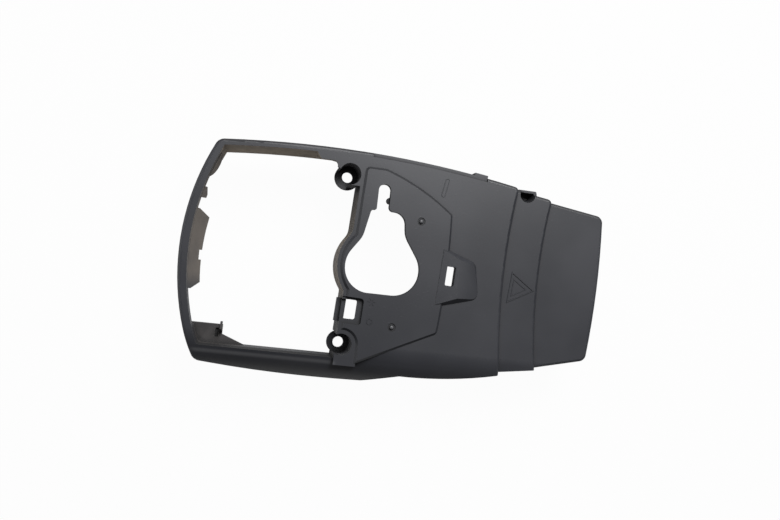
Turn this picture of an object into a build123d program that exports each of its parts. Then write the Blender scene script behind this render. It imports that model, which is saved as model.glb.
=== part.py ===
"""Injection moulded shroud of a hand-held engine tool: one shell, open underneath.

The left half is a hoop around a large opening. The right half is a crowned deck that steps down
twice towards a narrower end. X runs along the shell, Y across it and Z up, out of the deck. The
origin lies under the middle of the shell, in the plane of its lower edge.
"""

import os
from math import cos, radians, sin, sqrt, tan

from build123d import *

# ---------------------------------------------------------------- driving dimensions, millimetres
opening_length = 99.8       # left end of the hoop to the right edge of the opening
main_deck_length = 98.9     # right edge of the opening to the first step
band_length = 23.4          # first step to the second step
end_panel_length = 40.9     # second step to the right end
width = 141.2               # across the widest place
deck_height = 46.0          # lower edge to the main deck
wall = 2.6                  # thickness of deck, skirt and walls

side_radius = 665.0         # long curve of both sides
widest_from_left = 92.3
hoop_bulge = 15.2           # how far the left end bows out beyond its corners
hoop_corner_radius = 6.0
deck_edge_radius = 2.0      # round of the deck into the upper side and the ends
shoulder_radius = 26.0      # large round of the deck into the lower side
shoulder_width = 24.0       # that round, seen from above, out to the widest place
shoulder_turn = 66.0        # degrees, how far it turns down
dip_start = 25.0            # lower side: widest place to where it draws in
dip_length = 23.0
dip_depth = 4.4
dip_bulge = 2.0             # round of the side from the dip to the first step
lower_end_inset = 3.8       # lower side at the first step, inside the upper one's mirror image

step_height = 2.0           # drop of the deck at each of the two steps
step_bow = 4.0              # how far each step line bows towards the hoop
band_inset_upper = 1.4      # sides of the band inside those of the main section
band_inset_lower = 2.2
end_inset_upper = 1.5       # sides of the end panel inside those of the band
end_inset_lower = 1.4
side_taper = 7.8            # degrees, sides of the band to the X axis
end_taper_upper = 7.8
end_taper_lower = 12.6
end_bow = 2.0
end_tilt = 1.0              # upper corner of the right end further out than the lower one
end_corner_radius = 5.0
step_corner_radius = 3.0    # upper corner at each step

rail_width = 3.8            # upper rail beside the opening
hoop_width = 5.4            # left end of the hoop, seen from above
lower_rail_width = 14.4     # lower rail beside the opening
rail_depth = 30.0           # walls around the opening, down from the deck
hoop_depth = 10.0           # left end of the hoop, down from the deck
hoop_leg = 19.6             # left end of the hoop to where its wall is as deep as the rails
hoop_arch_upper = 57.5      # X axis to the ends of the shallow stretch of the hoop
hoop_arch_lower = 45.5
rise_gap = 6.0              # full skirt beyond the right edge of the opening
rise_length = 16.0          # along X, where the skirt's lower edge rises to the rails
lower_edge_radius = 6.0     # rounds of the skirt's lower edge
edge_tilt = 2.4             # degrees, right edge of the opening to the Y axis
opening_corner_radius = 3.0
throat_radius = 10.0        # where that edge meets the round wall, on the upper side

boss_inner_radius = 6.6
boss_depth = 18.0           # deck to the seat of the screw head
boss_floor = 3.0
screw_hole_radius = 3.4
upper_boss_inset = 15.0     # upper side of the shell to the boss axis
upper_boss_left = 4.7       # right edge of the opening to the boss axis
upper_boss_radius = 8.0
lower_boss_inset = 22.8
lower_boss_right = 1.3      # right edge of the opening to the boss axis
lower_boss_radius = 7.2
boss_rim = 2.4              # deck left between the lower boss and the panel
ear_reach = 23.1            # deck around the upper boss: right edge of the opening to its tip
ear_blend = 3.0             # along X, where it runs out into the upper rail
ear_inset = 7.9             # upper side of the shell to the lower edge of that deck
ear_lip = 1.4               # deck left of the upper boss
ear_corner_radius = 3.0

panel_rise = 1.4
panel_upper_x = 61.3        # right edge of the opening to the upper end of the panel's right side
panel_top_inset = 8.4       # upper side of the shell to the panel's top edge
panel_top_length = 13.0     # that edge
panel_upper_y = 38.8
panel_lower_x = 59.6        # and to its lower end
panel_lower_y = -35.6
panel_foot_x = 12.5         # right edge of the opening to the panel's lowest corner
panel_foot_inset = 11.4     # lower side of the shell to that corner
panel_edge_draft = 45.0     # degrees
panel_corner_radius = 3.0
panel_bulge = 2.2           # how far its long upper side bows out
panel_bow = 1.5             # and its right side
rim_width = 1.8             # deck left between the opening and the panel

pear_left = 21.2            # right edge of the opening to the middle of the pear-shaped hole
pear_y = 1.8
pear_radius = 23.0          # middle of the hole to its upright sides
pear_flat = 16.9            # to its flat lower edge
pear_hip = 4.0              # to where its sides begin to draw in
pear_waist_left = (-14.2, 16.8)
pear_waist_right = (11.9, 20.2)
plug_left = 10.8            # blunt upper end of the hole, left and right of the middle
plug_right = 10.4
plug_top = 34.0
pear_rim = 4.6              # deck left between the round side of the hole and the opening
lead_width = 7.6            # narrow slot for the lead
lead_shift = 3.9            # its middle, left of the middle of the hole
lead_top = 50.2             # middle of the hole to the end of the slot
lead_end_radius = 3.7
lead_foot_radius = 1.0      # corner left of the slot
lead_mouth_radius = 2.8     # corner right of it
pear_corner_radius = 15.5
pear_hip_radius = 16.0
waist_radius = 14.0
plug_left_radius = 2.3
plug_right_radius = 7.5
nub_radius = 2.0            # small stud under the panel, at the slot's right side
nub_reach = 1.4             # out of that side
nub_y = 42.7
nub_height = 5.0

window_y = -27.0            # middle of the pocket around the small window
window_pocket_depth = 2.4   # below the panel
window_sill = 3.0           # deck to the top of the wall that is left beside the opening
window_pocket_width = 13.0  # right edge of the opening to the right edge of the pocket
window_pocket_height = 16.2
window_shift = 0.8          # window above the middle of its pocket
window_width = 6.3
window_height = 11.7
window_ledge = 3.7          # pocket floor right of the window
window_pocket_radius = 2.0
window_radius = 1.2
strap_length = 14.2         # snap bar on the wall under the window
strap_reach = 2.8
strap_depth = 6.0           # deck to its top
strap_height = 4.0

slot_left = 63.6            # right edge of the opening to the middle of the slot
slot_width = 5.4
slot_height = 12.0
slot_y = 0.8
slot_corner_radius = 0.8
hump_rise = 3.4             # wedge above the main deck
hump_start = 54.6           # right edge of the opening to its left end
hump_crest = 69.2
hump_end = 83.4
hump_upper_y = 18.8
hump_lower_y = -19.6
hump_taper = 8.0            # its upper and lower sides draw in by this towards the right
hump_draft = 42.0           # degrees
hump_end_radius = 5.0
pip_radius = 1.5            # two small domes on the panel, each in a shallow ring
pip_ring_radius = 2.5
pip_ring_depth = 0.5
upper_pip = (41.9, 32.1)    # right edge of the opening, X axis
lower_pip = (30.8, -34.3)
pad_left = 2.2              # flat pad under the lower boss: right edge of the opening to its left side
pad_width = 13.5
pad_inset = 10.2            # lower side of the shell to its lower edge
pad_height = 20.0

pocket_radius = 5.0         # blind screw pocket at the first step
pocket_floor_radius = 3.2
pocket_depth = 9.0
pocket_left = 10.3          # first step to its middle
pocket_inset = 2.4          # upper side of the shell to its middle
pocket_wall = 1.5
pocket_rim = 2.0            # band to the top of its outer wall
pocket_flat = 3.0           # its middle to that wall's flat face

catch_thickness = 2.0       # three catches under the left end of the hoop
catch_lean = 21.0           # degrees, inwards
catch_gap = 7.0             # deck to where they leave the hoop
catch_depth = 24.5          # deck to the lower edge of the long one
catch_length = 48.3
catch_draft = 4.0           # its ends draw in by this
catch_slope = 2.5           # its lower edge rises by this towards the lower side
catch_notch_y = -3.4
catch_notch_width = 6.0
catch_notch_depth = 3.5
short_catch_y = 31.0
short_catch_length = 6.4
short_catch_depth = 13.2
round_catch_y = 51.0
round_catch_radius = 8.0
round_catch_depth = 12.2

gusset_thickness = 2.4      # web across the lower left corner of the opening
gusset_depth = 23.6         # deck to its top
gusset_height = 11.6        # lower rail to its upper edge
gusset_reach = 29.6         # left end of the hoop to where that edge ends
gusset_step = 6.0           # that end
gusset_toe = 44.1           # left end of the hoop to its tip on the lower rail
crease_foot = (15.6, -1.0)  # end of its crease: left end of the hoop, lower rail
crease_turn = 60.0          # degrees to the X axis
crease_rise = 18.0          # degrees, slope of the web left of it
slit_width = 1.8            # groove beside the hook
slit_depth = 1.4
slit_length = 5.5
slit_gap = 2.4              # groove to the end of the web, and to its upper edge
hook_thickness = 1.4
hook_height = 8.5
hook_reach = 2.4

side_step_start = 8.0       # ledge along the upper side: right edge of the opening to its ends
side_step_end = 81.5
side_step_width = 2.6
side_step_depth = 1.3
lug_length = 8.5            # low lug on the upper side, at the end of that ledge
lug_reach = 0.8
lug_turn = 7.0              # degrees, its face to the X axis
lug_height = 26.0

rib_places = (49.5, 88.0)   # two ribs across, under the main deck: from the opening's right edge
rib_thickness = 1.6
rib_height = 5.0

# ------------------------------------------------------------------------------- derived places
overall_length = opening_length + main_deck_length + band_length + end_panel_length
left_x = -overall_length / 2
right_x = overall_length / 2
opening_x = left_x + opening_length
step_1_x = opening_x + main_deck_length
step_2_x = step_1_x + band_length
widest_x = left_x + widest_from_left
half_width = width / 2
hoop_corner_x = left_x + hoop_bulge
band_height = deck_height - step_height
end_height = band_height - step_height
rail_z = deck_height - rail_depth
hoop_z = deck_height - hoop_depth
clear = 40.0                # how far cutting bodies run past what they cut


def side_y(x):
    """Distance from the X axis to the upper side of the main section at x."""
    return half_width - side_radius + sqrt(side_radius**2 - (x - widest_x) ** 2)


def edge_x(y, offset=0.0):
    """X of the opening's tilted right edge at y, moved right by offset."""
    return opening_x + offset + y * tan(radians(edge_tilt))


# ------------------------------------------------------- plans of the shell's three sections
main_end_x = step_1_x + step_bow
main_end_upper_y = side_y(main_end_x)
main_end_lower_y = lower_end_inset - main_end_upper_y
dip_x = widest_x + dip_start + dip_length
dip_y = dip_depth - side_y(dip_x)
with BuildSketch() as main_plan:
    with BuildLine():
        upper = ThreePointArc(
            (hoop_corner_x, side_y(hoop_corner_x)),
            (widest_x, half_width),
            (main_end_x, main_end_upper_y),
        )
        lower = ThreePointArc(
            (hoop_corner_x, -side_y(hoop_corner_x)),
            (widest_x, -half_width),
            (dip_x - dip_length, -side_y(dip_x - dip_length)),
        )
        dip = Line(lower @ 1, (dip_x, dip_y))
        ThreePointArc(
            dip @ 1,
            ((dip_x + main_end_x) / 2, (dip_y + main_end_lower_y) / 2 - dip_bulge),
            (main_end_x, main_end_lower_y),
        )
        ThreePointArc(upper @ 0, (left_x, 0), lower @ 0)
        ThreePointArc(upper @ 1, (step_1_x, 0), (main_end_x, main_end_lower_y))
    make_face()
    fillet(main_plan.vertices().group_by(Axis.X)[0], hoop_corner_radius)
    fillet(main_plan.vertices().group_by(Axis.X)[-1].sort_by(Axis.Y)[-1], step_corner_radius)

band_start_x = step_1_x - clear
band_end_x = step_2_x + step_bow
band_run = (band_end_x - main_end_x) * tan(radians(side_taper))
band_upper_y = main_end_upper_y - band_inset_upper
band_lower_y = main_end_lower_y + band_inset_lower
with BuildSketch() as band_plan:
    with BuildLine():
        Polyline(
            (band_end_x, band_upper_y - band_run),
            (main_end_x, band_upper_y),
            (band_start_x, band_upper_y),
            (band_start_x, band_lower_y),
            (main_end_x, band_lower_y),
            (band_end_x, band_lower_y + band_run),
        )
        ThreePointArc(
            (band_end_x, band_upper_y - band_run),
            (step_2_x, 0),
            (band_end_x, band_lower_y + band_run),
        )
    make_face()
    fillet(band_plan.vertices().group_by(Axis.X)[-1].sort_by(Axis.Y)[-1], step_corner_radius)

end_start_x = step_2_x - clear
end_upper_y = band_upper_y - band_run - end_inset_upper
end_lower_y = band_lower_y + band_run + end_inset_lower
end_run = right_x - end_bow - band_end_x
end_upper = (right_x - end_bow + end_tilt, end_upper_y - end_run * tan(radians(end_taper_upper)))
end_lower = (right_x - end_bow - end_tilt, end_lower_y + end_run * tan(radians(end_taper_lower)))
with BuildSketch() as end_plan:
    with BuildLine():
        Polyline(
            end_upper,
            (band_end_x, end_upper_y),
            (end_start_x, end_upper_y),
            (end_start_x, end_lower_y),
            (band_end_x, end_lower_y),
            end_lower,
        )
        ThreePointArc(end_upper, (right_x, 0), end_lower)
    make_face()
    fillet(end_plan.vertices().sort_by(Axis.X)[-2:], end_corner_radius)


def crowned_body(plan, top, inset=0.0):
    """Body over a plan, flat on top and rounded down into its lower side.

    inset moves every surface of it inwards, which makes the hollow for a wall of that thickness.
    """
    radius = shoulder_radius - inset
    ridge = (shoulder_width - half_width, top - inset)
    foot = (
        ridge[0] - radius * sin(radians(shoulder_turn)),
        ridge[1] - radius * (1 - cos(radians(shoulder_turn))),
    )
    heel = (foot[0] - clear / tan(radians(shoulder_turn)), foot[1] - clear)
    far_y = half_width + clear
    with BuildPart() as body:
        with BuildSketch():
            add(plan)
            if inset:
                offset(amount=-inset, kind=Kind.INTERSECTION)
        extrude(amount=top - inset)
        with BuildSketch(Plane.YZ.offset(left_x - clear)):
            with BuildLine():
                RadiusArc(ridge, foot, -radius)
                Polyline(foot, heel, (far_y, heel[1]), (far_y, ridge[1]), ridge)
            make_face()
        extrude(amount=overall_length + 2 * clear, mode=Mode.INTERSECT)
        if not inset:
            crown = body.faces().filter_by(Axis.Z).sort_by(Axis.Z)[-1]
            fillet(crown.edges().sort_by(Axis.Y)[1:], deck_edge_radius)
    return body.part


outer_main = crowned_body(main_plan.sketch, deck_height)
outer_band = crowned_body(band_plan.sketch, band_height)
outer_end = crowned_body(end_plan.sketch, end_height)

# ------------------------------------------------------------------------ outlines on the deck
upper_boss_x = opening_x - upper_boss_left
upper_boss_y = side_y(upper_boss_x) - upper_boss_inset
lower_boss_x = opening_x + lower_boss_right
lower_boss_y = lower_boss_inset - side_y(lower_boss_x)
boss_floor_z = deck_height - boss_depth
lower_rail_y = lower_rail_width - half_width
pear_x = opening_x + pear_left
ear_x = opening_x - ear_reach
ear_y = side_y(ear_x) - ear_inset
ear_lip_x = upper_boss_x - boss_inner_radius - ear_lip
panel_height = deck_height + panel_rise

# The hollow beside the deck: the main plan moved in by the widths of rails and hoop
with BuildSketch() as between_rails:
    with BuildLine():
        Polyline(
            (left_x, half_width),
            (edge_x(half_width), half_width),
            (edge_x(lower_rail_y), lower_rail_y),
            (left_x, lower_rail_y),
            close=True,
        )
    make_face()
with BuildSketch() as well:
    add(main_plan.sketch)
    offset(amount=-rail_width, kind=Kind.INTERSECTION)
    with Locations((hoop_width, 0)):
        add(main_plan.sketch, mode=Mode.INTERSECT)
    add(between_rails.sketch, mode=Mode.INTERSECT)
    with Locations((pear_x, pear_y)):
        Circle(pear_radius + pear_rim, mode=Mode.SUBTRACT)
    throat = well.vertices().filter_by_position(Axis.Y, lower_rail_y + 1, half_width / 2)
    fillet(throat.sort_by(Axis.Y)[0], opening_corner_radius)
    throat = well.vertices().filter_by_position(Axis.Y, lower_rail_y + 1, half_width / 2)
    fillet(throat.sort_by(Axis.Y)[-1], throat_radius)
    fillet(well.vertices().sort_by(Axis.X)[0], opening_corner_radius)
with BuildSketch() as walled_well:
    add(well.sketch)
    offset(amount=wall, kind=Kind.ARC)

# Deck that stays around the upper screw boss, an ear in the corner of the opening
with BuildSketch() as ear:
    with BuildLine():
        Polyline(
            (edge_x(half_width), half_width),
            (ear_x - ear_blend, half_width),
            (ear_x - ear_blend, side_y(ear_x - ear_blend) - rail_width),
            (ear_x, ear_y),
            (ear_lip_x, ear_y),
            (ear_lip_x, upper_boss_y + boss_inner_radius / 2),
            (upper_boss_x, upper_boss_y),
            (upper_boss_x, upper_boss_y - boss_inner_radius),
            (edge_x(upper_boss_y), upper_boss_y - boss_inner_radius),
            close=True,
        )
    make_face()
    corner = ear.vertices().filter_by_position(Axis.X, ear_lip_x - 1, ear_lip_x + 1).sort_by(Axis.Y)[-1]
    fillet(corner, ear_corner_radius)

with BuildSketch() as opening:
    add(well.sketch)
    add(ear.sketch, mode=Mode.SUBTRACT)

# Pear-shaped hole: flat below, drawn in above, with a blunt upper end and a narrow slot on top
pear_corners = (
    ((-pear_radius, -pear_flat), pear_corner_radius),
    ((pear_radius, -pear_flat), pear_corner_radius),
    ((pear_radius, pear_hip), pear_hip_radius),
    (pear_waist_right, waist_radius),
    ((plug_right, plug_top), plug_right_radius),
    ((-plug_left, plug_top), plug_left_radius),
    (pear_waist_left, waist_radius),
    ((-pear_radius, pear_hip), pear_hip_radius),
)
with BuildSketch() as pear_outline:
    with BuildLine():
        Polyline([corner for corner, _ in pear_corners], close=True)
    make_face()
    for corner, radius in pear_corners:
        fillet(pear_outline.vertices().sort_by_distance(corner)[0], radius)
    with Locations((-lead_shift, 0)):
        Rectangle(lead_width, lead_top, align=(Align.CENTER, Align.MIN))
    slot_side = lead_width / 2
    fillet(pear_outline.vertices().sort_by(Axis.Y)[-2:], lead_end_radius)
    left_foot = (-lead_shift - slot_side, plug_top)
    fillet(pear_outline.vertices().sort_by_distance(left_foot)[0], lead_foot_radius)
    right_foot = (slot_side - lead_shift, plug_top)
    fillet(pear_outline.vertices().sort_by_distance(right_foot)[0], lead_mouth_radius)
with BuildSketch() as pear:
    with Locations((pear_x, pear_y)):
        add(pear_outline.sketch)

# Raised panel around it
with BuildSketch() as panel:
    with BuildLine():
        panel_top_y = side_y(pear_x) - panel_top_inset
        start = (edge_x(panel_top_y, rim_width), panel_top_y)
        foot_y = panel_foot_inset - side_y(opening_x + panel_foot_x)
        Polyline(
            (edge_x(panel_top_y, rim_width + panel_top_length), panel_top_y),
            start,
            (edge_x(foot_y, rim_width), foot_y),
            (edge_x(foot_y, panel_foot_x), foot_y),
        )
        upper_bend = (opening_x + panel_upper_x, panel_upper_y)
        lower_bend = (opening_x + panel_lower_x, panel_lower_y)
        top_bend = (edge_x(panel_top_y, rim_width + panel_top_length), panel_top_y)
        SagittaArc(upper_bend, lower_bend, panel_bow)
        Line((edge_x(foot_y, panel_foot_x), foot_y), lower_bend)
        SagittaArc(top_bend, upper_bend, panel_bulge)
    make_face()
    fillet(panel.vertices(), panel_corner_radius)
    with Locations((pear_x, pear_y)):
        Circle(pear_radius + pear_rim - rim_width)
    with Locations((lower_boss_x, lower_boss_y)):
        Circle(boss_inner_radius + boss_rim, mode=Mode.SUBTRACT)
        Rectangle(
            2 * (boss_inner_radius + boss_rim),
            clear,
            align=(Align.CENTER, Align.MAX),
            mode=Mode.SUBTRACT,
        )

# Window beside the opening, in a pocket that is open towards it
with BuildSketch() as window_pocket:
    with Locations((edge_x(window_y, window_pocket_width), window_y)):
        Rectangle(
            2 * window_pocket_width,
            window_pocket_height,
            rotation=-edge_tilt,
            align=(Align.MAX, Align.CENTER),
        )
    fillet(window_pocket.vertices().sort_by(Axis.X)[-2:], window_pocket_radius)
with BuildSketch() as window:
    with Locations((edge_x(window_y, window_pocket_width - window_ledge), window_y + window_shift)):
        Rectangle(
            window_width,
            window_height,
            rotation=-edge_tilt,
            align=(Align.MAX, Align.CENTER),
        )
    fillet(window.vertices(), window_radius)

# Wedge on the deck with its slot, ramped at both ends and sloped at its sides
with BuildSketch(Plane.XY.offset(deck_height)) as hump_plan:
    with BuildLine():
        Polyline(
            (opening_x + hump_start, hump_lower_y),
            (opening_x + hump_end, hump_lower_y + hump_taper),
            (opening_x + hump_end - hump_taper / 2, hump_upper_y - hump_taper),
            (opening_x + hump_start + hump_taper / 4, hump_upper_y),
            close=True,
        )
    make_face()
    fillet(hump_plan.vertices().sort_by(Axis.X)[2:], hump_end_radius)
with BuildPart() as hump:
    extrude(hump_plan.sketch, amount=hump_rise, taper=hump_draft)
    extrude(hump_plan.sketch, amount=-wall)
    with BuildSketch(Plane.XZ.offset(-half_width)):
        with BuildLine():
            Polyline(
                (opening_x + hump_start, deck_height - wall),
                (opening_x + hump_start, deck_height + panel_rise),
                (opening_x + hump_crest, deck_height + hump_rise),
                (opening_x + hump_end, deck_height),
                (opening_x + hump_end, deck_height - wall),
                close=True,
            )
        make_face()
    extrude(amount=width, mode=Mode.INTERSECT)

# Region under the lower edge of the skirt: full depth at the deck, raised along the rails, and
# arched up along the hoop
with BuildPart() as below:
    with BuildSketch(Plane.XZ.offset(-half_width - clear)) as rise:
        with BuildLine():
            Polyline(
                (opening_x - rise_gap, -clear),
                (opening_x - rise_gap, 0),
                (opening_x - rise_gap - rise_length, rail_z),
                (left_x - clear, rail_z),
                (left_x - clear, -clear),
                close=True,
            )
        make_face()
        fillet(rise.vertices().group_by(Axis.Z)[-1].sort_by(Axis.X)[-1], lower_edge_radius)
    extrude(amount=width + 2 * clear)
    with BuildSketch(Plane.YZ.offset(left_x + hoop_leg)) as arch:
        with BuildLine():
            Polyline(
                (-hoop_arch_lower, -clear),
                (-hoop_arch_lower, hoop_z),
                (hoop_arch_upper, hoop_z),
                (hoop_arch_upper, -clear),
                close=True,
            )
        make_face()
        fillet(arch.vertices().group_by(Axis.Z)[-1], lower_edge_radius / 2)
    extrude(amount=-hoop_leg - clear)

# Walls around the opening, tubes of the screw bosses and stiffening ribs, all inside the shell
with BuildPart() as inner_walls:
    with BuildSketch(Plane.XY.offset(rail_z)):
        add(walled_well.sketch)
        add(well.sketch, mode=Mode.SUBTRACT)
    extrude(amount=rail_depth)
    with BuildSketch(Plane.XY.offset(boss_floor_z - boss_floor)):
        with Locations((upper_boss_x, upper_boss_y)):
            Circle(upper_boss_radius)
        with Locations((lower_boss_x, lower_boss_y)):
            Circle(lower_boss_radius)
    extrude(amount=boss_depth + boss_floor)
    for reach in rib_places:
        with Locations((opening_x + reach, 0, deck_height)):
            Box(
                rib_thickness,
                width,
                wall + rib_height,
                align=(Align.CENTER, Align.CENTER, Align.MAX),
            )
    add(outer_main, mode=Mode.INTERSECT)

# Long, short and round catch below the left end of the hoop, leaning inwards
hoop_chord = side_y(hoop_corner_x)
hoop_radius = (hoop_chord**2 + hoop_bulge**2) / (2 * hoop_bulge)
hoop_center_x = left_x + hoop_radius
catch_foot_y = catch_length / 2 - catch_draft
low_z = deck_height - catch_depth
with BuildSketch(Plane.YZ.offset(left_x)) as catches:
    with BuildLine():
        Polyline(
            (-catch_length / 2, deck_height),
            (-catch_length / 2, hoop_z),
            (-catch_foot_y, low_z + catch_slope),
            (catch_foot_y, low_z),
            (catch_length / 2, hoop_z),
            (catch_length / 2, deck_height),
            close=True,
        )
    make_face()
    with Locations((catch_notch_y, low_z + catch_slope / 2 + catch_notch_depth)):
        Rectangle(
            catch_notch_width,
            catch_depth,
            align=(Align.CENTER, Align.MAX),
            mode=Mode.SUBTRACT,
        )
    with BuildLine():
        Polyline(
            (short_catch_y, deck_height),
            (short_catch_y, deck_height - short_catch_depth),
            (short_catch_y + short_catch_length / 3, deck_height - short_catch_depth),
            (short_catch_y + short_catch_length, hoop_z),
            (short_catch_y + short_catch_length, deck_height),
            close=True,
        )
    make_face()
    with Locations((round_catch_y, deck_height - round_catch_depth + round_catch_radius)):
        Circle(round_catch_radius)
catch_root = left_x + hoop_width
catch_top = deck_height - catch_gap
catch_drop = catch_depth * tan(radians(catch_lean))
with BuildPart() as catch:
    with BuildSketch(Plane.XZ):
        with BuildLine():
            Polyline(
                (catch_root, catch_top),
                (catch_root + catch_drop, catch_top - catch_depth),
                (catch_root + catch_drop - catch_thickness, catch_top - catch_depth),
                (catch_root - catch_thickness, catch_top),
                close=True,
            )
        make_face()
    revolve(axis=Axis((hoop_center_x, 0, 0), (0, 0, 1)))
    extrude(catches.sketch, amount=hoop_radius, mode=Mode.INTERSECT)

# Web across the lower left corner of the opening, with a groove and a hook beside it. Left of its
# crease it slopes up to the hoop.
gusset_top = lower_rail_y + gusset_height
gusset_end = left_x + gusset_reach
web_z = deck_height - gusset_depth
web_floor_z = web_z - gusset_thickness
crease_plane = Plane(
    origin=(left_x + crease_foot[0], lower_rail_y + crease_foot[1], web_z),
    x_dir=(-sin(radians(crease_turn)), cos(radians(crease_turn)), 0),
    z_dir=(cos(radians(crease_turn)), sin(radians(crease_turn)), 0),
)
with BuildSketch(Plane.XY.offset(web_floor_z)) as web:
    with BuildLine():
        Polyline(
            (left_x, gusset_top),
            (gusset_end, gusset_top),
            (gusset_end, gusset_top - gusset_step),
            (left_x + gusset_toe, lower_rail_y),
            (left_x + gusset_toe, lower_rail_y - 1),
            (left_x, lower_rail_y - 1),
            close=True,
        )
    make_face()
    add(walled_well.sketch, mode=Mode.INTERSECT)
with BuildPart() as gusset:
    with BuildSketch(crease_plane):
        with BuildLine():
            Polyline(
                (0, -gusset_thickness),
                (hoop_leg, -gusset_thickness),
                (hoop_leg, hoop_leg * tan(radians(crease_rise))),
                (0, 0),
                close=True,
            )
        make_face()
    extrude(amount=clear, both=True)
    extrude(web.sketch, amount=gusset_thickness)
    extrude(web.sketch, amount=gusset_depth, mode=Mode.INTERSECT)
    with BuildSketch(Plane.XY.offset(web_z)):
        with Locations((gusset_end - slit_gap, gusset_top - slit_gap)):
            Rectangle(slit_width, slit_length, align=(Align.MAX, Align.MAX))
    extrude(amount=-slit_depth, mode=Mode.SUBTRACT)
    with BuildSketch(Plane.YZ.offset(gusset_end - hook_thickness)):
        with BuildLine():
            Polyline(
                (gusset_top - gusset_step, web_floor_z),
                (gusset_top, web_floor_z),
                (gusset_top, web_z + hook_height - hook_reach),
                (gusset_top + hook_reach, web_z + hook_height - hook_reach / 2),
                (gusset_top + hook_reach / 2, web_z + hook_height),
                (gusset_top - hook_reach, web_z + hook_height),
                close=True,
            )
        make_face()
    extrude(amount=hook_thickness)

# Blind screw pocket at the first step, hanging from the band
pocket_x = step_1_x + pocket_left
pocket_y = side_y(pocket_x) - pocket_inset
with BuildPart() as pocket:
    with Locations((pocket_x, pocket_y, band_height)):
        Cone(
            pocket_floor_radius,
            pocket_radius,
            pocket_depth,
            align=(Align.CENTER, Align.CENTER, Align.MAX),
        )
        Cylinder(pocket_radius, step_height, align=(Align.CENTER, Align.CENTER, Align.MIN))
    with Locations((pocket_x, pocket_y + pocket_flat - pocket_wall, band_height)):
        Box(clear, clear, clear, align=(Align.CENTER, Align.MAX, Align.CENTER), mode=Mode.INTERSECT)

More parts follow.
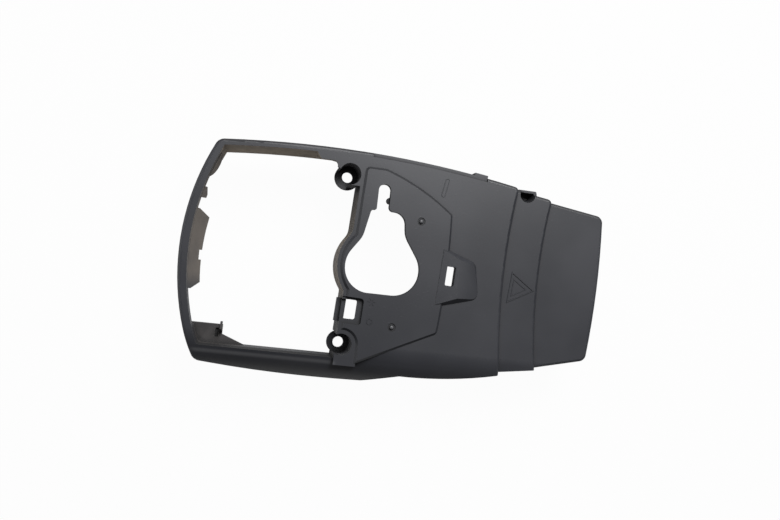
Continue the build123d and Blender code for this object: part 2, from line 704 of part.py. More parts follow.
with BuildPart() as housing:
    add(outer_main)
    add(outer_band)
    add(outer_end)
    extrude(panel.sketch, amount=deck_height)
    extrude(Plane.XY.offset(deck_height) * panel.sketch, amount=panel_rise, taper=panel_edge_draft)
    add(hump.part)
    with BuildSketch(Plane.XY.offset(deck_height)):
        with Locations((opening_x - pad_left, pad_inset - side_y(opening_x))):
            Rectangle(pad_width, pad_height, align=(Align.MIN, Align.MIN))
    extrude(amount=-shoulder_radius / 3)
    with BuildSketch(Plane.XY.offset(deck_height - side_step_depth - lug_height)):
        with Locations((opening_x + side_step_end - lug_length / 2, side_y(opening_x + side_step_end))):
            Rectangle(lug_length, 2 * lug_reach + side_step_width, rotation=-lug_turn)
    extrude(amount=lug_height)

    # hollow underneath
    add(crowned_body(main_plan.sketch, deck_height, wall), mode=Mode.SUBTRACT)
    add(crowned_body(band_plan.sketch, band_height, wall), mode=Mode.SUBTRACT)
    add(crowned_body(end_plan.sketch, end_height, wall), mode=Mode.SUBTRACT)

    # walls inside, then the opening through everything
    add(inner_walls.part)
    extrude(opening.sketch, amount=deck_height + clear, mode=Mode.SUBTRACT)
    add(below.part, mode=Mode.SUBTRACT)

    # catches, web and hook reach into the opening
    add(catch.part)
    add(gusset.part)

    # screw bosses
    bosses = (
        (upper_boss_x, upper_boss_y, upper_boss_radius),
        (lower_boss_x, lower_boss_y, lower_boss_radius),
    )
    for x, y, radius in bosses:
        with Locations((x, y, boss_floor_z - boss_floor)):
            Cylinder(
                radius,
                clear,
                align=(Align.CENTER, Align.CENTER, Align.MAX),
                mode=Mode.SUBTRACT,
            )
        with Locations((x, y, boss_floor_z)):
            Cylinder(radius, boss_floor, align=(Align.CENTER, Align.CENTER, Align.MAX))
            Cylinder(
                boss_inner_radius,
                boss_depth + clear,
                align=(Align.CENTER, Align.CENTER, Align.MIN),
                mode=Mode.SUBTRACT,
            )
            Cylinder(screw_hole_radius, clear, mode=Mode.SUBTRACT)

    # pear-shaped hole and the stud at its slot
    extrude(pear.sketch, amount=deck_height + clear, mode=Mode.SUBTRACT)
    nub_x = pear_x - lead_shift + lead_width / 2 - nub_reach + nub_radius
    with Locations((nub_x, nub_y, panel_height - wall)):
        Cylinder(nub_radius, nub_height, align=(Align.CENTER, Align.CENTER, Align.MAX))

    # window with its pocket and the snap bar below it
    with BuildSketch(Plane.XY.offset(panel_height - window_pocket_depth)):
        add(window_pocket.sketch)
    extrude(amount=clear, mode=Mode.SUBTRACT)
    extrude(window.sketch, amount=clear + deck_height, mode=Mode.SUBTRACT)
    sill_width = window_pocket_width - window_ledge - window_width / 2
    with Locations((edge_x(window_y, sill_width), window_y + window_shift, deck_height - window_sill)):
        Box(
            2 * sill_width,
            window_height,
            clear,
            rotation=(0, 0, -edge_tilt),
            align=(Align.MAX, Align.CENTER, Align.MIN),
            mode=Mode.SUBTRACT,
        )
    with Locations((edge_x(window_y, 1), window_y, deck_height - strap_depth)):
        Box(
            strap_reach + 1,
            strap_length,
            strap_height,
            rotation=(0, 0, -edge_tilt),
            align=(Align.MAX, Align.CENTER, Align.MAX),
        )

    # slot in the wedge, domes in their rings
    with BuildSketch():
        with Locations((opening_x + slot_left, slot_y)):
            RectangleRounded(slot_width, slot_height, slot_corner_radius, rotation=-edge_tilt)
    extrude(amount=deck_height + clear, mode=Mode.SUBTRACT)
    for reach, y in (upper_pip, lower_pip):
        with Locations((opening_x + reach, y, panel_height - pip_ring_depth)):
            Cylinder(
                pip_ring_radius,
                clear,
                align=(Align.CENTER, Align.CENTER, Align.MIN),
                mode=Mode.SUBTRACT,
            )
            Sphere(pip_radius)

    # ledge along the upper side
    with BuildSketch(Plane.XY.offset(deck_height - side_step_depth)):
        add(main_plan.sketch)
        with Locations((0, -side_step_width)):
            add(main_plan.sketch, mode=Mode.SUBTRACT)
        with Locations((opening_x + side_step_start, 0)):
            Rectangle(
                side_step_end - side_step_start,
                width,
                align=(Align.MIN, Align.MIN),
                mode=Mode.INTERSECT,
            )
    extrude(amount=clear, mode=Mode.SUBTRACT)

    # screw pocket: a cup with a flat outer side that stands a little out of the band
    with BuildSketch(Plane.XY.offset(band_height - pocket_depth - pocket_wall)):
        with Locations((pocket_x, pocket_y)):
            Circle(pocket_radius + pocket_wall)
        with Locations((pocket_x, pocket_y + pocket_flat)):
            Rectangle(clear, clear, align=(Align.CENTER, Align.MAX), mode=Mode.INTERSECT)
    extrude(amount=pocket_depth + pocket_wall - pocket_rim)
    add(pocket.part, mode=Mode.SUBTRACT)

housing.part.label = "housing"
os.makedirs("parts", exist_ok=True)
export_step(housing.part, "parts/housing.step")
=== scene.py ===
"""Looks of a moulded engine shroud: its grained plastic, broken edges, moulded marks and studio."""

import logging
import math
from dataclasses import dataclass, field
from enum import Enum
from typing import Any

import bmesh
import bpy
from mathutils import Matrix, Vector

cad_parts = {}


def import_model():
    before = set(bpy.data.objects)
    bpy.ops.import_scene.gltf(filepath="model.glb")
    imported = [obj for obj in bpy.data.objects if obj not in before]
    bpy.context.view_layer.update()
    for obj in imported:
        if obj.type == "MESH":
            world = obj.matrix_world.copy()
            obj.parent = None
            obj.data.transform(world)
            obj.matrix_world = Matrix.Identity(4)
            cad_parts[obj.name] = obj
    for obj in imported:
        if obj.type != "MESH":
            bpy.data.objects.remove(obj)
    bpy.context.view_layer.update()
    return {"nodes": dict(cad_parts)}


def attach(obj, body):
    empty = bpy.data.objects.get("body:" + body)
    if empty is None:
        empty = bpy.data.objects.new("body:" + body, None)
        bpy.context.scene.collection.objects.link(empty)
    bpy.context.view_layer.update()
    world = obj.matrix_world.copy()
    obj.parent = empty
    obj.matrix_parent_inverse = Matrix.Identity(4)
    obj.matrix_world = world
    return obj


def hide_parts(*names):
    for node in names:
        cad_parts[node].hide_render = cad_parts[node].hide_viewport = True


LOG = logging.getLogger("shroud")
MM = 0.001
FRAME_WIDTH_PX = 780
SENSOR_WIDTH_MM = 36.0
Colour = tuple[float, float, float, float]
Point = tuple[float, float]
Place = tuple[float, float, float]
Span = tuple[float, float]


class Coat(Enum):
    """Material slots of the shell, in the order in which its faces name them."""

    GRAIN = 0
    EDGE = 1


class NodeGraph:
    """A node tree that is filled by kind, socket values and links in one call a node."""

    def __init__(self, tree: bpy.types.NodeTree) -> None:
        """Start on a cleared tree.

        Args:
            tree: The tree to fill.
        """
        self.tree = tree
        tree.nodes.clear()

    def add(
        self, kind: str, sockets: dict[str | int, Any] | None = None, **settings: Any
    ) -> bpy.types.Node:
        """Add a node, set its properties, and give its sockets values or links.

        Args:
            kind: The node's type name.
            sockets: Input name or index, to a plain value or to an output socket.
            **settings: Properties of the node itself.

        Returns:
            The new node.
        """
        node = self.tree.nodes.new(kind)
        for key, value in settings.items():
            setattr(node, key, value)
        for key, value in (sockets or {}).items():
            if isinstance(value, bpy.types.NodeSocket):
                self.tree.links.new(value, node.inputs[key])
            else:
                node.inputs[key].default_value = value
        return node

    def math(self, operation: str, first: Any, second: Any = 0.0) -> bpy.types.NodeSocket:
        """Calculate with two values.

        Args:
            operation: The Math node's operation.
            first: A number or an output socket.
            second: The same.

        Returns:
            The result, held between 0 and 1.
        """
        node = self.add("ShaderNodeMath", {0: first, 1: second}, operation=operation, use_clamp=True)
        return node.outputs[0]

    def product(self, first: Any, *others: Any) -> bpy.types.NodeSocket:
        """Multiply several values.

        Args:
            first: A number or an output socket, from 0 to 1.
            *others: More of them.

        Returns:
            Their product.
        """
        for other in others:
            first = self.math("MULTIPLY", first, other)
        return first

    def largest(self, first: Any, *others: Any) -> bpy.types.NodeSocket:
        """Compare several values.

        Args:
            first: A number or an output socket, from 0 to 1.
            *others: More of them.

        Returns:
            The largest one.
        """
        for other in others:
            first = self.math("MAXIMUM", first, other)
        return first

    def vary(self, value: Any, least: float) -> bpy.types.NodeSocket:
        """Bring a value from 0 to 1 into the range from least to 1."""
        return self.math("ADD", least, self.product(value, 1 - least))

    def vector(self, operation: str, first: Any, second: Any) -> bpy.types.Node:
        """Give a Vector Math node on two vectors."""
        return self.add("ShaderNodeVectorMath", {0: first, 1: second}, operation=operation)

    def rise(self, value: Any, span: Span, unit: float = 1.0) -> bpy.types.NodeSocket:
        """Fade in along a value.

        Args:
            value: The output socket to follow.
            span: Where the fade starts and ends.
            unit: What the span is counted in.

        Returns:
            0 below the span, 1 above it and a smooth rise in it.
        """
        node = self.add(
            "ShaderNodeMapRange",
            {"Value": value, "From Min": span[0] * unit, "From Max": span[1] * unit},
            interpolation_type="SMOOTHSTEP",
        )
        return node.outputs["Result"]

    def fall(self, value: Any, span: Span, unit: float = 1.0) -> bpy.types.NodeSocket:
        """Fade out along a value, as rise fades in."""
        return self.math("SUBTRACT", 1.0, self.rise(value, span, unit))

    def noise(self, place: Any, scale: float, detail: float) -> bpy.types.NodeSocket:
        """Make fractal noise.

        Args:
            place: The shaded place, metres.
            scale: Waves a metre.
            detail: How many finer layers it has.

        Returns:
            A value from 0 to 1.
        """
        node = self.add("ShaderNodeTexNoise", {"Vector": place, "Scale": scale, "Detail": detail})
        return node.outputs["Fac"]

    def blend(self, amount: Any, first: Any, second: Any) -> bpy.types.NodeSocket:
        """Mix two colours.

        Args:
            amount: Share of the second one, from 0 to 1.
            first: A colour or an output socket.
            second: The same.

        Returns:
            The colour between them.
        """
        mix = self.add("ShaderNodeMix", {0: amount, 6: first, 7: second}, data_type="RGBA")
        return mix.outputs[2]


def metres(place: Place) -> Place:
    """Turn a place from millimetres to metres."""
    return tuple(value * MM for value in place)


@dataclass(frozen=True)
class Zone:
    """Soft-edged box on the shell.

    Each limit is the pair of millimetres between which the zone fades in or out; a limit that is
    left out lets the zone run on.
    """

    x_from: Span | None = None
    x_to: Span | None = None
    y_from: Span | None = None
    y_to: Span | None = None
    z_from: Span | None = None
    z_to: Span | None = None

    def mask(self, graph: NodeGraph, place: bpy.types.NodeSocket) -> bpy.types.NodeSocket:
        """Give 1 inside the zone and 0 outside it.

        Args:
            graph: The material's nodes.
            place: The shaded place, metres.

        Returns:
            The product of the fades at its limits.
        """
        axes = graph.add("ShaderNodeSeparateXYZ", {0: place}).outputs
        fades = []
        for axis, start, end in (
            ("X", self.x_from, self.x_to),
            ("Y", self.y_from, self.y_to),
            ("Z", self.z_from, self.z_to),
        ):
            if start:
                fades.append(graph.rise(axes[axis], start, MM))
            if end:
                fades.append(graph.fall(axes[axis], end, MM))
        return graph.product(*fades)


@dataclass(frozen=True)
class MouldedPlastic:
    """Charcoal plastic with a fine moulded grain, brown dust and painted light on inner walls, painted
    shade in corners and painted highlights on a crest and domes.

    Colours are linear, waves are per metre, and places and zones are millimetres. A span is where
    something fades in or out: in noise, in how far a wall faces one way, or in how open a place is.
    """

    name: str
    pigment: Colour = (0.024, 0.025, 0.030, 1.0)
    faded: Colour = (0.033, 0.034, 0.040, 1.0)
    # lighter colour that paints a highlight on the lower rail's crest and the domes' tops
    painted_highlight: Colour = (0.085, 0.086, 0.092, 1.0)
    # brown dust, lightened beyond its own tone as painted light on inner walls the lamps leave in shade
    dust_and_painted_light: Colour = (0.50, 0.42, 0.33, 1.0)
    # near-black colour that paints shade in corners, on the lower rail's wall and along the upper edge
    painted_shade: Colour = (0.007, 0.007, 0.008, 1.0)
    refraction: float = 1.5

    # roughness and relief
    roughness: float = 0.39
    cloud_roughness: float = 0.1
    dust_and_shade_roughness: float = 0.35
    cloud_waves: float = 14.0
    cloud_span: Span = (0.35, 0.7)
    grain_waves: float = 2600.0
    grain_depth: float = 0.03 * MM
    grain_strength: float = 0.5
    fleck_waves: float = 900.0
    fleck_span: Span = (0.62, 0.8)
    fleck_share: float = 0.25
    fleck_strength: float = 0.4

    # painted highlight on the lower rail's crest and the domes' tops
    rail_crest: Zone = Zone(
        x_from=(-122, -114), x_to=(-36, -31), y_from=(-61.4, -59.4), y_to=(-59.0, -57.4), z_from=(36, 40)
    )
    crest_share: float = 0.8
    domes: tuple[Place, ...] = ((10.2, 32.1, 48.0), (-0.9, -34.3, 48.0))
    dome_reach: Span = (0.9, 1.5)

    # painted shade: in corners, on the lower rail's wall and along the upper edge
    corner_reach: float = 4.0 * MM
    corner_samples: int = 6
    corner_span: Span = (0.5, 0.97)
    corner_limit: float = 0.78
    painted_shade_waves: float = 45.0
    painted_shade_patches: Span = (0.2, 0.6)
    lower_rail_wall: Zone = Zone(x_to=(-33, -29), y_to=(-44, -38), z_from=(28, 33))
    wall_facing: Span = (0.3, 0.7)
    wall_share: float = 0.9
    upper_edge: Zone = Zone(y_from=(34, 38), z_from=(36, 40))
    edge_facing: Span = (0.1, 0.4)
    edge_share: float = 0.6

    # brown dust, made lighter than the dust alone as painted light on the shaded inner walls
    dust_and_light_strength: float = 1.0
    dust_and_light_waves: float = 60.0
    dust_and_light_patches: Span = (0.25, 0.65)
    patch_least: float = 0.6
    opening_middle: Place = (-78.0, 4.0, 36.0)
    opening_walls: Zone = Zone(x_to=(-33, -29), y_from=(-26, -12), z_to=(44.6, 45.9))
    upright_span: Span = (0.35, 0.75)
    inward_span: Span = (2.0, 8.0)
    upper_boss: Place = (-36.4, 55.6, 36.0)
    boss_clearance: Span = (12.0, 15.0)
    upper_rail_wall: Zone = Zone(y_from=(56, 62))
    hoop_share: float = 0.22
    right_wall: Zone = Zone(x_from=(-60, -50))
    right_wall_top: Zone = Zone(y_from=(15, 30))
    right_wall_share: float = 0.45
    gusset: Zone = Zone(x_to=(-92, -86), y_from=(-62, -58), y_to=(-44, -42), z_to=(31, 34))
    gusset_share: float = 0.06

    def material(self) -> bpy.types.Material:
        """Build the material.

        Returns:
            A material with colour, roughness and bump worked out from the place on the piece.
        """
        material = bpy.data.materials.new(self.name)
        material.use_nodes = True
        graph = NodeGraph(material.node_tree)
        place = graph.add("ShaderNodeTexCoord").outputs["Object"]
        normal = graph.add("ShaderNodeNewGeometry").outputs["Normal"]
        cloud = graph.noise(place, self.cloud_waves, 3.0)
        grain = graph.noise(place, self.grain_waves, 1.0)
        fleck = graph.rise(graph.noise(place, self.fleck_waves, 2.0), self.fleck_span)
        base = graph.blend(graph.rise(cloud, self.cloud_span), self.pigment, self.faded)
        base = graph.blend(graph.product(fleck, self.fleck_share), base, self.faded)
        # painted highlight on the lower rail's crest and the domes' tops
        base = graph.blend(self._painted_highlight_mask(graph, place), base, self.painted_highlight)
        # brown dust with painted light on the inner walls around the opening
        dust_and_painted_light = self._dust_and_painted_light_mask(graph, place, normal)
        # painted shade in corners, on the lower rail's wall and along the upper edge
        painted_shade = self._painted_shade_mask(graph, place, normal)
        colour = graph.blend(painted_shade, graph.blend(dust_and_painted_light, base, self.dust_and_painted_light), self.painted_shade)
        rough = graph.math("ADD", self.roughness, graph.product(cloud, self.cloud_roughness))
        rough = graph.math("ADD", rough, graph.product(graph.largest(dust_and_painted_light, painted_shade), self.dust_and_shade_roughness))
        fine = graph.add(
            "ShaderNodeBump",
            {"Strength": self.grain_strength, "Distance": self.grain_depth, "Height": grain},
        ).outputs[0]
        relief = graph.add(
            "ShaderNodeBump",
            {
                "Strength": self.fleck_strength,
                "Distance": 2 * self.grain_depth,
                "Height": fleck,
                "Normal": fine,
            },
        ).outputs[0]
        shader = graph.add(
            "ShaderNodeBsdfPrincipled",
            {"Base Color": colour, "Roughness": rough, "Normal": relief, "IOR": self.refraction},
        )
        graph.add("ShaderNodeOutputMaterial", {"Surface": shader.outputs[0]})
        return material

    def _painted_highlight_mask(self, graph: NodeGraph, place: bpy.types.NodeSocket) -> bpy.types.NodeSocket:
        """Find where a highlight is painted: the lower rail's crest and the domes' tops.

        Args:
            graph: The material's nodes.
            place: The shaded place, metres.

        Returns:
            How much highlight is painted, from 0 to 1.
        """
        # painted highlight along the lower rail's crest
        painted_highlight = graph.product(self.rail_crest.mask(graph, place), self.crest_share)
        # painted highlight on each dome's top
        for dome in self.domes:
            away = graph.vector("DISTANCE", place, metres(dome)).outputs["Value"]
            painted_highlight = graph.largest(painted_highlight, graph.fall(away, self.dome_reach, MM))
        return painted_highlight

    def _painted_shade_mask(
        self, graph: NodeGraph, place: bpy.types.NodeSocket, normal: bpy.types.NodeSocket
    ) -> bpy.types.NodeSocket:
        """Find where shade is painted: in corners, on the lower rail's wall and along the upper edge.

        Args:
            graph: The material's nodes.
            place: The shaded place, metres.
            normal: The direction that the surface faces.

        Returns:
            How much shade is painted, from 0 to 1.
        """
        shelter = graph.add(
            "ShaderNodeAmbientOcclusion",
            {"Distance": self.corner_reach},
            samples=self.corner_samples,
            only_local=True,
        )
        patch = graph.rise(graph.noise(place, self.painted_shade_waves, 3.0), self.painted_shade_patches)
        # painted shade in corners, from ambient occlusion
        corners = graph.math(
            "MINIMUM", graph.fall(shelter.outputs["AO"], self.corner_span), self.corner_limit
        )
        facing = graph.add("ShaderNodeSeparateXYZ", {0: normal}).outputs["Y"]
        # painted shade on the lower rail's inner wall, which faces the key lamp
        wall = graph.product(
            graph.rise(facing, self.wall_facing), self.lower_rail_wall.mask(graph, place), self.wall_share
        )
        # painted shade along the upper outer edge, dimming its highlight
        edge = graph.product(
            graph.rise(facing, self.edge_facing), self.upper_edge.mask(graph, place), self.edge_share
        )
        return graph.largest(graph.product(corners, graph.vary(patch, self.patch_least)), wall, edge)

    def _dust_and_painted_light_mask(
        self, graph: NodeGraph, place: bpy.types.NodeSocket, normal: bpy.types.NodeSocket
    ) -> bpy.types.NodeSocket:
        """Find where brown dust and painted light go: on the walls around the opening, but not on the lower
        rail.

        Args:
            graph: The material's nodes.
            place: The shaded place, metres.
            normal: The direction that the surface faces.

        Returns:
            How dusty it is, from 0 to 1.
        """
        tilt = graph.add("ShaderNodeSeparateXYZ", {0: normal}).outputs["Z"]
        inwards = graph.vector("SUBTRACT", metres(self.opening_middle), place).outputs[0]
        inward = graph.vector("DOT_PRODUCT", inwards, normal).outputs["Value"]
        from_boss = graph.vector("DISTANCE", place, metres(self.upper_boss)).outputs["Value"]
        walls = graph.product(
            graph.fall(tilt, self.upright_span),
            graph.rise(inward, self.inward_span, MM),
            self.opening_walls.mask(graph, place),
            graph.rise(from_boss, self.boss_clearance, MM),
        )
        # the right wall's share is painted light on a wall that the key lamp leaves in shade
        share = graph.largest(
            graph.vary(self.upper_rail_wall.mask(graph, place), self.hoop_share),
            graph.product(
                self.right_wall.mask(graph, place),
                graph.vary(self.right_wall_top.mask(graph, place), self.right_wall_share),
            ),
        )
        web = graph.product(self.gusset.mask(graph, place), self.gusset_share)
        patch = graph.rise(graph.noise(place, self.dust_and_light_waves, 4.0), self.dust_and_light_patches)
        mask = graph.largest(graph.product(walls, share), web)
        return graph.product(mask, graph.vary(patch, self.patch_least), self.dust_and_light_strength)


def plain_object(name: str, mesh: bpy.types.Mesh) -> bpy.types.Object:
    """Put a mesh in the scene.

    Args:
        name: The object's name.
        mesh: Its mesh.

    Returns:
        An unturned object at the origin.
    """
    piece = bpy.data.objects.new(name, mesh)
    bpy.context.scene.collection.objects.link(piece)
    return piece


def baked(piece: bpy.types.Object) -> bpy.types.Object:
    """Turn a piece's modifiers into its mesh.

    Args:
        piece: The object with live modifiers.

    Returns:
        The same object with the evaluated mesh and no modifiers.
    """
    graph = bpy.context.evaluated_depsgraph_get()
    mesh = bpy.data.meshes.new_from_object(
        piece.evaluated_get(graph), preserve_all_data_layers=True, depsgraph=graph
    )
    piece.modifiers.clear()
    piece.data = mesh
    return piece


def moulded_on(piece: bpy.types.Object) -> bpy.types.Object:
    """Tie a finished piece to the shell's body.

    Args:
        piece: An object without modifiers.

    Returns:
        The same object.
    """
    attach(piece, "root")
    return piece


@dataclass
class Shell:
    """The moulded shell itself, with its sharp edges broken by a small round."""

    edge_round: float = 0.35 * MM
    edge_segments: int = 2
    sharp_angle: float = 32.0
    flat_angle: float = 0.5
    flat_weight: int = 100
    merge_distance: float = 0.002 * MM

    def build(self, cad: bpy.types.Object, coats: dict[Coat, bpy.types.Material]) -> bpy.types.Object:
        """Merge a copy of the CAD shell, round its edges and dress it.

        Args:
            cad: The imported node.
            coats: The material of each slot.

        Returns:
            The finished piece.
        """
        piece = plain_object("shell", self._merged(cad.data))
        piece.data.materials.clear()
        for coat in Coat:
            piece.data.materials.append(coats[coat])
        bevel = piece.modifiers.new("edge round", "BEVEL")
        bevel.limit_method = "ANGLE"
        bevel.angle_limit = math.radians(self.sharp_angle)
        bevel.width = self.edge_round
        bevel.segments = self.edge_segments
        bevel.material = Coat.EDGE.value
        bevel.miter_outer = "MITER_ARC"
        baked(piece)
        piece.data.shade_smooth()
        piece.data.set_sharp_from_angle(angle=math.radians(self.sharp_angle))
        level = piece.modifiers.new("level flats", "WEIGHTED_NORMAL")
        level.keep_sharp = True
        level.weight = self.flat_weight
        baked(piece)
        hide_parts("housing")
        return moulded_on(piece)

    def _merged(self, source: bpy.types.Mesh) -> bpy.types.Mesh:
        """Join a mesh of loose triangles.

        Args:
            source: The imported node's mesh, which stays as it is.

        Returns:
            A closed copy with whole flat faces.
        """
        mesh = bpy.data.meshes.new("shell")
        work = bmesh.new()
        work.from_mesh(source)
        bmesh.ops.remove_doubles(work, verts=work.verts, dist=self.merge_distance)
        bmesh.ops.dissolve_limit(
            work, angle_limit=math.radians(self.flat_angle), verts=work.verts, edges=work.edges
        )
        for face in work.faces:
            face.material_index = Coat.GRAIN.value
        work.to_mesh(mesh)
        work.free()
        return mesh


@dataclass(frozen=True)
class Ridge:
    """Low moulded line around a closed convex outline, sunk a little into the deck under it.

    Its outline runs counter-clockwise, and all its sizes are millimetres.
    """

    name: str
    outline: tuple[Point, ...]
    floor: float
    width: float = 0.7
    height: float = 0.3
    root: float = 0.25
    side_share: float = 0.25

    def build(self, material: bpy.types.Material) -> bpy.types.Object:
        """Make the ridge.

        Args:
            material: Its plastic.

        Returns:
            A closed ring with a flat top and sloped sides.
        """
        count = len(self.outline)
        slope = self.width * self.side_share
        levels = (
            (0.0, self.floor - self.root),
            (0.0, self.floor),
            (slope, self.floor + self.height),
            (self.width - slope, self.floor + self.height),
            (self.width, self.floor),
            (self.width, self.floor - self.root),
        )
        verts: list[Place] = []
        for inset, z in levels:
            verts += [(x * MM, y * MM, z * MM) for x, y in self._inset(inset)]
        faces = []
        for row in range(len(levels)):
            below, above = row * count, (row + 1) % len(levels) * count
            for k in range(count):
                after = (k + 1) % count
                faces.append((below + k, below + after, above + after, above + k))
        mesh = bpy.data.meshes.new(self.name)
        mesh.from_pydata(verts, [], faces)
        mesh.materials.append(material)
        return moulded_on(plain_object(self.name, mesh))

    def _inset(self, reach: float) -> list[Point]:
        """Move every side of the outline inwards.

        Args:
            reach: How far.

        Returns:
            The moved corners, in the same order.
        """
        points = [Vector(point) for point in self.outline]
        moved = []
        for k, point in enumerate(points):
            before = (point - points[k - 1]).normalized()
            after = (points[(k + 1) % len(points)] - point).normalized()
            inward = Vector((-before.y, before.x)) + Vector((-after.y, after.x))
            spot = point + inward * (reach / (1 + before.dot(after)))
            moved.append((spot.x, spot.y))
        return moved


def stadium(
    middle: Point, length: float, radius: float, turn: float, steps: int = 24
) -> tuple[Point, ...]:
    """Give the outline of a bar with round ends, or of a circle where its length is 0.

    Args:
        middle: Its middle, millimetres.
        length: Between the middles of its ends, millimetres.
        radius: Half its width, millimetres.
        turn: Degrees from the Y axis, counter-clockwise.
        steps: How many points it has.

    Returns:
        Its points, counter-clockwise.
    """
    along = Vector((-math.sin(math.radians(turn)), math.cos(math.radians(turn))))
    across = Vector((along.y, -along.x))
    points = []
    for k in range(steps):
        angle = 2 * math.pi * (k + 0.5) / steps
        end = math.copysign(length / 2, math.sin(angle))
        spot = Vector(middle) + across * radius * math.cos(angle) + along * (radius * math.sin(angle) + end)
        points.append((spot.x, spot.y))
    return tuple(points)


class Repeater:
    """A Geometry Nodes tree, with named inputs, that a piece wears until it is baked."""

    def __init__(self, name: str) -> None:
        """Start an empty tree with a geometry input and output.

        Args:
            name: The tree's name.
        """
        self.tree = bpy.data.node_groups.new(name, "GeometryNodeTree")
        self.graph = NodeGraph(self.tree)
        self.tree.interface.new_socket("Geometry", in_out="INPUT", socket_type="NodeSocketGeometry")
        self.tree.interface.new_socket("Geometry", in_out="OUTPUT", socket_type="NodeSocketGeometry")
        self.values: dict[str, Any] = {}
        self.entry = self.graph.add("NodeGroupInput")

    def value(self, name: str, kind: str, amount: Any) -> bpy.types.NodeSocket:
        """Declare a named input and keep the value that the modifier will give it.

        Args:
            name: Its name on the modifier.
            kind: Socket type, without its prefix.
            amount: Its value.

        Returns:
            The socket inside the tree.
        """
        socket = self.tree.interface.new_socket(name, in_out="INPUT", socket_type=f"NodeSocket{kind}")
        self.values[socket.identifier] = amount
        return self.entry.outputs[name]

    def finish(self, instances: bpy.types.NodeSocket, material: bpy.types.NodeSocket) -> None:
        """Turn the instances into plain mesh, give it a material and end the tree.

        Args:
            instances: The geometry to end with.
            material: The input that holds its material.
        """
        solid = self.graph.add("GeometryNodeRealizeInstances", {"Geometry": instances})
        dressed = self.graph.add(
            "GeometryNodeSetMaterial", {"Geometry": solid.outputs[0], "Material": material}
        )
        self.graph.add("NodeGroupOutput", {0: dressed.outputs[0]})

    def wear(self, piece: bpy.types.Object) -> bpy.types.Object:
        """Put the tree on a piece, set its inputs by identifier, and bake it.

        Args:
            piece: The object that the tree works on.

        Returns:
            The same object with the finished mesh.
        """
        modifier = piece.modifiers.new(self.tree.name, "NODES")
        modifier.node_group = self.tree
        for identifier, amount in self.values.items():
            modifier[identifier] = amount
        return baked(piece)


def point_cloud(name: str, places: tuple[Place, ...]) -> bpy.types.Object:
    """Make an object whose mesh is only points.

    Args:
        name: The object's name.
        places: The points, millimetres.

    Returns:
        The object.
    """
    mesh = bpy.data.meshes.new(name)
    mesh.from_pydata([metres(place) for place in places], [], [])
    return plain_object(name, mesh)


@dataclass(frozen=True)
class EjectorMarks:
    """Round witness marks that the mould's ejector pins leave on the underside of the deck."""

    deck_spots: tuple[Point, ...] = (
        (6.0, 42.0), (24.0, 48.0), (52.0, 44.0), (40.0, 22.0),
        (46.0, -16.0), (28.0, -38.0), (0.0, -36.0), (58.0, -34.0),
    )
    band_spots: tuple[Point, ...] = ((80.0, 34.0), (80.0, -28.0))
    end_spots: tuple[Point, ...] = ((104.0, 38.0), (112.0, 6.0), (104.0, -26.0))
    undersides: tuple[float, float, float] = (43.4, 41.4, 39.4)
    radius: float = 2.5 * MM
    height: float = 0.3 * MM
    sides: int = 32
    unevenness: tuple[Place, Place] = ((0.96, 0.96, 0.8), (1.04, 1.04, 1.2))
    seed: int = 7

    def _places(self) -> tuple[Place, ...]:
        """Put every spot on the underside of its own part of the deck."""
        parts = (self.deck_spots, self.band_spots, self.end_spots)
        return tuple((*spot, z) for spots, z in zip(parts, self.undersides) for spot in spots)

    def build(self, material: bpy.types.Material) -> bpy.types.Object:
        """Stamp a flat disc, of slightly varying depth, on every point.

        Args:
            material: Their plastic.

        Returns:
            The baked discs.
        """
        net = Repeater("ejector marks")
        radius = net.value("Radius", "Float", self.radius)
        height = net.value("Height", "Float", self.height)
        seed = net.value("Seed", "Int", self.seed)
        plastic = net.value("Material", "Material", material)
        sides = net.value("Sides", "Int", self.sides)
        disc = net.graph.add(
            "GeometryNodeMeshCylinder", {"Vertices": sides, "Radius": radius, "Depth": height}
        )
        vary = net.graph.add(
            "FunctionNodeRandomValue",
            {"Min": self.unevenness[0], "Max": self.unevenness[1], "Seed": seed},
            data_type="FLOAT_VECTOR",
        )
        stamped = net.graph.add(
            "GeometryNodeInstanceOnPoints",
            {"Points": net.entry.outputs[0], "Instance": disc.outputs["Mesh"], "Scale": vary.outputs[0]},
        )
        net.finish(stamped.outputs[0], plastic)
        return moulded_on(net.wear(point_cloud("ejector_marks", self._places())))


@dataclass(frozen=True)
class StarMark:
    """Small wheel of low bars that is moulded beside the pear-shaped hole."""

    place: Place = (-14.8, -20.1, 47.4)
    arms: int = 6
    arm: Place = (1.7 * MM, 0.5 * MM, 0.5 * MM)
    reach: float = 1.7 * MM

    def build(self, material: bpy.types.Material) -> bpy.types.Object:
        """Repeat one bar around the place.

        Args:
            material: Its plastic.

        Returns:
            The baked star.
        """
        net = Repeater("star mark")
        arms = net.value("Arms", "Int", self.arms)
        size = net.value("Arm Size", "Vector", self.arm)
        reach = net.value("Reach", "Float", self.reach)
        plastic = net.value("Material", "Material", material)
        ring = net.graph.add("GeometryNodeMeshCircle", {"Vertices": arms, "Radius": reach})
        index = net.graph.add("GeometryNodeInputIndex")
        turn = net.graph.add(
            "ShaderNodeMath", {0: index.outputs[0], 1: 2 * math.pi / self.arms}, operation="MULTIPLY"
        )
        spin = net.graph.add("ShaderNodeCombineXYZ", {"Z": turn.outputs[0]})
        bar = net.graph.add("GeometryNodeMeshCube", {"Size": size})
        wheel = net.graph.add(
            "GeometryNodeInstanceOnPoints",
            {"Points": ring.outputs["Mesh"], "Instance": bar.outputs["Mesh"], "Rotation": spin.outputs[0]},
        )
        stamped = net.graph.add(
            "GeometryNodeInstanceOnPoints",
            {"Points": net.entry.outputs[0], "Instance": wheel.outputs[0]},
        )
        net.finish(stamped.outputs[0], plastic)
        return moulded_on(net.wear(point_cloud("star_mark", (self.place,))))


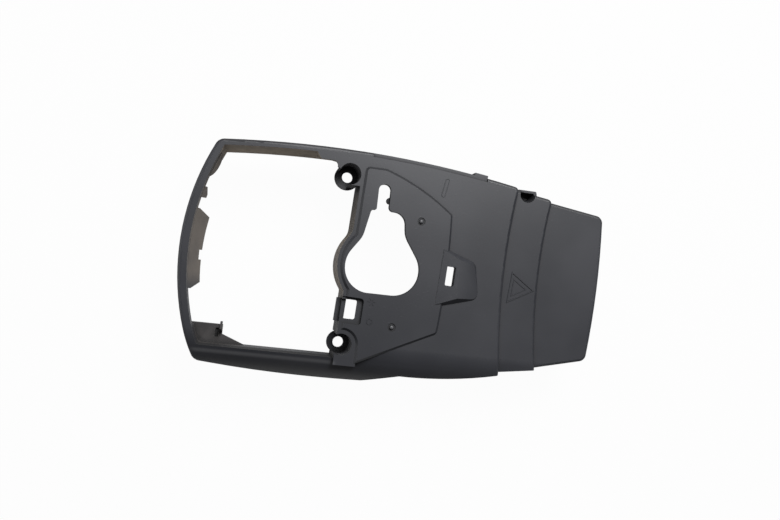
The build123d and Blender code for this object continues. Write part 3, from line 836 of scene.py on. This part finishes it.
@dataclass
class MouldedMarks:
    """Bare marks on the deck, in millimetres: two triangles, a bar, a ring, a star and pin marks."""

    panel_top: float = 47.4
    deck_top: float = 46.0
    band_top: float = 44.0
    triangle: tuple[Point, ...] = ((72.4, 8.6), (70.6, -11.8), (88.2, -2.2))
    inner_triangle: tuple[Point, ...] = ((73.9, 4.3), (72.9, -7.6), (83.2, -2.0))
    bar_middle: Point = (23.3, 54.9)
    bar_length: float = 9.4
    bar_radius: float = 1.4
    bar_turn: float = -10.0
    ring_middle: Point = (-15.0, -32.3)
    ring_radius: float = 2.0
    ridges: list[Ridge] = field(init=False)

    def __post_init__(self) -> None:
        """List the outlines."""
        bar = stadium(self.bar_middle, self.bar_length, self.bar_radius, self.bar_turn)
        ring = stadium(self.ring_middle, 0.0, self.ring_radius, 0.0)
        self.ridges = [
            Ridge("triangle", self.triangle, self.band_top, width=0.9, height=0.45),
            Ridge("inner_triangle", self.inner_triangle, self.band_top, width=0.8, height=0.3),
            Ridge("bar", bar, self.deck_top, width=0.55, height=0.25),
            Ridge("ring", ring, self.panel_top, width=0.6, height=0.25),
        ]

    def build(self, material: bpy.types.Material) -> list[bpy.types.Object]:
        """Make every mark.

        Args:
            material: Their plastic.

        Returns:
            The finished pieces.
        """
        pieces = [ridge.build(material) for ridge in self.ridges]
        pieces.append(StarMark().build(material))
        pieces.append(EjectorMarks().build(material))
        return pieces


@dataclass
class Studio:
    """White floor, soft lamps and the camera above the deck.

    Places are metres. The camera is held by its focal length and by the point straight below it, both
    in picture points, and that point counts from the middle of the frame.
    """

    camera_place: Place = (-80.9 * MM, -9.55 * MM, 498 * MM)
    focal_px: float = 750.0
    nadir_px: Point = (-126.0, -12.0)
    roll: float = 6.5
    floor_size: float = 3.0
    paper: Colour = (0.45, 0.45, 0.45, 1.0)
    floor_white: float = 0.97
    floor_gleam: float = 0.1
    key_place: Place = (0.19, 0.6, 0.8)
    key_size: float = 0.5
    key_power: float = 14.0
    fill_place: Place = (-0.9, 0.15, 0.36)
    fill_size: float = 0.8
    fill_power: float = 2.4
    sky: float = 0.10

    def build(self) -> None:
        """Make the floor, the lamps, the world and the camera."""
        self._floor()
        self._world()
        self._lamp("key", self.key_place, self.key_size, self.key_power)
        self._lamp("fill", self.fill_place, self.fill_size, self.fill_power)
        self._camera()

    def _floor(self) -> None:
        """Lay a white floor that stays white to the camera and keeps a faint shadow."""
        mesh = bpy.data.meshes.new("floor")
        half = self.floor_size / 2
        corners = [(-half, -half, 0), (half, -half, 0), (half, half, 0), (-half, half, 0)]
        mesh.from_pydata(corners, [], [(0, 1, 2, 3)])
        floor = plain_object("floor", mesh)
        material = bpy.data.materials.new("white floor")
        material.use_nodes = True
        graph = NodeGraph(material.node_tree)
        rays = graph.add("ShaderNodeLightPath").outputs
        seen = graph.product(rays["Is Camera Ray"], self.floor_white)
        mirrored = graph.product(rays["Is Glossy Ray"], self.floor_gleam)
        share = graph.math("ADD", seen, mirrored)
        paper = graph.add("ShaderNodeBsdfDiffuse", {"Color": self.paper})
        glow = graph.add("ShaderNodeEmission", {"Color": (1, 1, 1, 1), "Strength": 1.0})
        mixed = graph.add("ShaderNodeMixShader", {0: share, 1: paper.outputs[0], 2: glow.outputs[0]})
        graph.add("ShaderNodeOutputMaterial", {"Surface": mixed.outputs[0]})
        floor.data.materials.append(material)

    def _world(self) -> None:
        """Surround the object with even pale light."""
        world = bpy.data.worlds.new("studio")
        world.use_nodes = True
        graph = NodeGraph(world.node_tree)
        rays = graph.add("ShaderNodeLightPath").outputs
        level = graph.add(
            "ShaderNodeMapRange", {"Value": rays["Is Camera Ray"], "To Min": self.sky, "To Max": 1.0}
        )
        sky = graph.add("ShaderNodeBackground", {"Color": (1, 1, 1, 1), "Strength": level.outputs[0]})
        graph.add("ShaderNodeOutputWorld", {"Surface": sky.outputs[0]})
        bpy.context.scene.world = world

    def _lamp(self, name: str, place: Place, size: float, power: float) -> None:
        """Hang a square soft lamp that faces the shell.

        Args:
            name: The lamp's name.
            place: Its middle, metres.
            size: Its side, metres.
            power: Watts.
        """
        data = bpy.data.lights.new(name, "AREA")
        data.size = size
        data.energy = power
        lamp = bpy.data.objects.new(name, data)
        aim = Vector(place).to_track_quat("Z", "Y").to_matrix().to_4x4()
        lamp.matrix_world = Matrix.Translation(place) @ aim
        bpy.context.scene.collection.objects.link(lamp)

    def _camera(self) -> None:
        """Hold the camera almost straight above the opening, turned a little about its view.

        The three axes are the shell's length, width and height as the camera sees them.
        """
        height = Vector((-self.nadir_px[0], -self.nadir_px[1], self.focal_px)).normalized()
        turn = math.radians(self.roll)
        length = Vector((math.cos(turn), -math.sin(turn), 0.0))
        length = (length - length.dot(height) * height).normalized()
        axes = Matrix((length, height.cross(length), height))
        data = bpy.data.cameras.new("camera")
        data.sensor_width = SENSOR_WIDTH_MM
        data.lens = self.focal_px / FRAME_WIDTH_PX * SENSOR_WIDTH_MM
        camera = bpy.data.objects.new("camera", data)
        camera.matrix_world = Matrix.Translation(self.camera_place) @ axes.to_4x4()
        bpy.context.scene.collection.objects.link(camera)
        bpy.context.scene.camera = camera


def main() -> None:
    """Build the shell, its marks and the studio, in that order, and note the sizes."""
    logging.basicConfig(level=logging.INFO)
    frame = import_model()
    plastic = MouldedPlastic("moulded plastic").material()
    # darker plastic on the bevelled edges paints shade along them; its rougher finish dims their highlight
    edge_plastic_with_painted_shade = MouldedPlastic(
        "plastic edge with painted shade",
        pigment=(0.012, 0.0125, 0.015, 1.0),
        faded=(0.018, 0.019, 0.022, 1.0),
        roughness=0.6,
        dust_and_light_strength=0.8,
    ).material()
    pieces = [Shell().build(frame["nodes"]["housing"], {Coat.GRAIN: plastic, Coat.EDGE: edge_plastic_with_painted_shade})]
    pieces += MouldedMarks().build(plastic)
    for piece in pieces:
        LOG.info("%s: %d faces", piece.name, len(piece.data.polygons))
    Studio().build()
    bpy.context.scene.view_settings.view_transform = "Standard"


if __name__ == "__main__":
    main()
